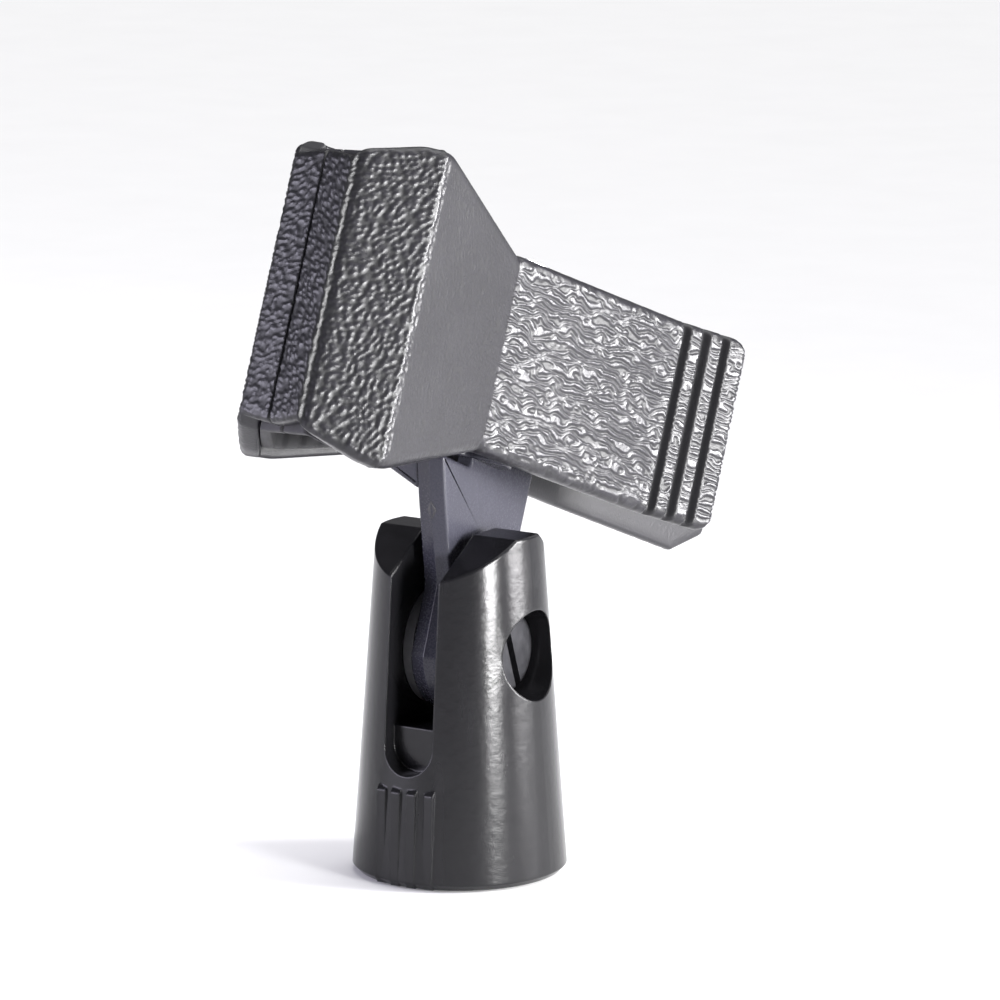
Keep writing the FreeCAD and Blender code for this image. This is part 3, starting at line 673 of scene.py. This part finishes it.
def torsionSpring():
    # a helix about the hinge with a straight leg off each end, swept by a round wire
    length = spring["turns"] * spring["pitch"]
    a = np.linspace(math.pi / 2, math.pi / 2 + 2 * math.pi * spring["turns"], spring["coilPoints"])
    n = np.linspace(-length / 2, length / 2, spring["coilPoints"])
    coil = np.stack([spring["coil"] * np.cos(a), spring["coil"] * np.sin(a), n], -1)
    w = np.linspace(0, 1, spring["legPoints"] + 1)[:-1, None]
    upperTip = np.array([spring["leg"], spring["upperLeg"], -length / 2])
    lowerTip = np.array([spring["leg"], -spring["lowerLeg"], length / 2])
    first = upperTip * (1 - w) + coil[:1] * w
    last = coil[-1:] * w[::-1] + lowerTip * (1 - w[::-1])
    path = np.concatenate([first, coil, last])
    along = np.gradient(path, axis=0)
    along /= np.linalg.norm(along, axis=1)[:, None]
    side = np.cross(along, [0, 0, 1])
    side /= np.linalg.norm(side, axis=1)[:, None]
    up = np.cross(side, along)
    t = np.linspace(0, 2 * math.pi, spring["sides"] + 1)[:-1, None]
    ring = path[:, None] + spring["wire"] * (np.cos(t) * side[:, None] + np.sin(t) * up[:, None])
    verts, faces = closedTube(clipToRow(ring[..., 0], ring[..., 1], ring[..., 2]))
    piece = addPiece("torsionSpring", verts, faces, None, None, finishes["steel"])
    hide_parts("jaw_spring")
    reach = length / 2 - spring["blendIn"]
    start, end = clipToRow(0.0, 0.0, reach), clipToRow(0.0, 0.0, -reach)
    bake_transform(piece)
    return piece


torsionSpring()

insert = {"tall": 13.0, "minor": 7.45, "deep": 0.42, "pitch": 25.4 / 27, "lead": 0.5, "flat": 1.25, "flank": 2.5,
          "sides": 144, "levels": 170,
          "outside": ((7.95, 13.0), (9.3, 13.0), (9.5, 12.8), (9.5, 0.25), (9.4, 0.02), (7.95, 0.02))}


def threadInsert():
    # ring turned about Z: plain outer wall, flat faces, and a bore whose radius rises and falls
    # along a helix, opened out by a lead-in at both ends
    sides, tall, deep = insert["sides"], insert["tall"], insert["deep"]
    theta = np.linspace(0, 2 * math.pi, sides + 1)[:-1][:, None]
    z = np.linspace(0, tall, insert["levels"])[None, :]
    phase = (z / insert["pitch"] - theta / (2 * math.pi)) % 1
    depth = np.clip(insert["flat"] - np.abs(phase - 0.5) * insert["flank"], 0, 1) * deep
    lead = np.clip(1 - np.minimum(z, tall - z) / insert["lead"], 0, 1)
    bore = insert["minor"] + np.maximum(depth, lead * deep)
    outR, outZ = np.array(insert["outside"]).T
    r = np.concatenate([bore, np.broadcast_to(outR, (sides, len(outR)))], 1)
    h = np.concatenate([np.broadcast_to(z, bore.shape), np.broadcast_to(outZ, (sides, len(outZ)))], 1)
    verts = np.stack([r * np.cos(theta), r * np.sin(theta), h], -1) * mm
    faces = gridFaces(sides, r.shape[1], wrapRows=True, wrapCols=True)
    return addPiece("threadInsert", verts, faces, "base", "insert_brass", finishes["brass"], ("thread_insert",))


threadInsert()
print("spring and insert made")

studio = {"azimuth": 32.5, "elevation": 11.6, "away": 0.8265, "aim": (0.006, 0.0, 0.0475), "lens": 240.0,
          "sunEnergy": 3.0, "sunAngle": 1.0, "sunTurn": (-0.25, 0.12, 0), "room": (0.93, 0.92, 0.97, 1),
          "roomStrength": 0.22, "floorHalf": 3.0, "floorPoints": 9, "floorZ": -0.0003}
# name: towards, away, size, power, colour, spread in degrees
softBoxes = {"keyRight": ((0.906, 0.422, 0.06), 0.45, (0.20, 0.42), 2.9, (1.0, 0.99, 1.0), 70.0),
             "stripRight": ((0.96, -0.28, 0.0), 0.42, (0.10, 0.13), 0.8, (1.0, 1.0, 1.0), 70.0),
             "fillLeft": ((-0.63, -0.76, 0.05), 0.50, (0.28, 0.42), 4.8, (0.86, 0.83, 1.0), 180.0)}


def aimAt(thing, target):
    direction = np.array(target) - np.array(thing.location)
    flat = math.hypot(direction[0], direction[1])
    thing.rotation_euler = (math.pi / 2 + math.atan2(direction[2], flat), 0,
                            math.atan2(direction[1], direction[0]) - math.pi / 2)


def softBox(name, toward, away, size, power, color, spread):
    data = bpy.data.lights.new(name, "AREA")
    data.shape, data.size, data.size_y = "RECTANGLE", size[0], size[1]
    data.energy, data.color = power, color
    data.spread = math.radians(spread)
    box = bpy.data.objects.new(name, data)
    toward = np.array(toward, float) / np.linalg.norm(toward)
    box.location = np.array(studio["aim"]) + toward * away
    aimAt(box, studio["aim"])
    bpy.context.scene.collection.objects.link(box)


def makeStudio():
    a, e = math.radians(studio["azimuth"]), math.radians(studio["elevation"])
    data = bpy.data.cameras.new("camera")
    data.lens, data.sensor_width, data.clip_start = studio["lens"], 36.0, 0.01
    camera = bpy.data.objects.new("camera", data)
    camera.location = np.array(studio["aim"]) + studio["away"] * np.array(
        [math.sin(a) * math.cos(e), -math.cos(a) * math.cos(e), math.sin(e)])
    aimAt(camera, studio["aim"])
    bpy.context.scene.collection.objects.link(camera)
    bpy.context.scene.camera = camera
    for name, values in softBoxes.items():
        softBox(name, *values)
    sunData = bpy.data.lights.new("overhead", "SUN")
    sunData.energy, sunData.angle = studio["sunEnergy"], studio["sunAngle"]
    sun = bpy.data.objects.new("overhead", sunData)
    sun.rotation_euler = studio["sunTurn"]
    bpy.context.scene.collection.objects.link(sun)
    world = bpy.data.worlds.new("room")
    world.use_nodes = True
    background = world.node_tree.nodes["Background"].inputs
    background["Color"].default_value = studio["room"]
    background["Strength"].default_value = studio["roomStrength"]
    bpy.context.scene.world = world
    bpy.context.scene.view_settings.view_transform = "Standard"


def floorPiece():
    # a wide flat sheet of pale card
    count = studio["floorPoints"]
    x = np.linspace(-studio["floorHalf"], studio["floorHalf"], count)
    verts = np.stack(np.broadcast_arrays(x[:, None], x[None, :], studio["floorZ"]), -1)
    f = Finish("paleCard", Roughness=0.8)
    fibre = f.noise(f.objectPlace(), 60.0, 3.0)
    card = f.feed(Base_Color=f.blendColor(fibre, shade(0.80, 0.80, 0.80), shade(0.84, 0.84, 0.84)))
    mesh = bpy.data.meshes.new("floor")
    mesh.from_pydata(verts.reshape(-1, 3).tolist(), [], gridFaces(count, count))
    mesh.materials.append(card)
    floor = bpy.data.objects.new("floor", mesh)
    bpy.context.scene.collection.objects.link(floor)


makeStudio()
floorPiece()
print("studio made")
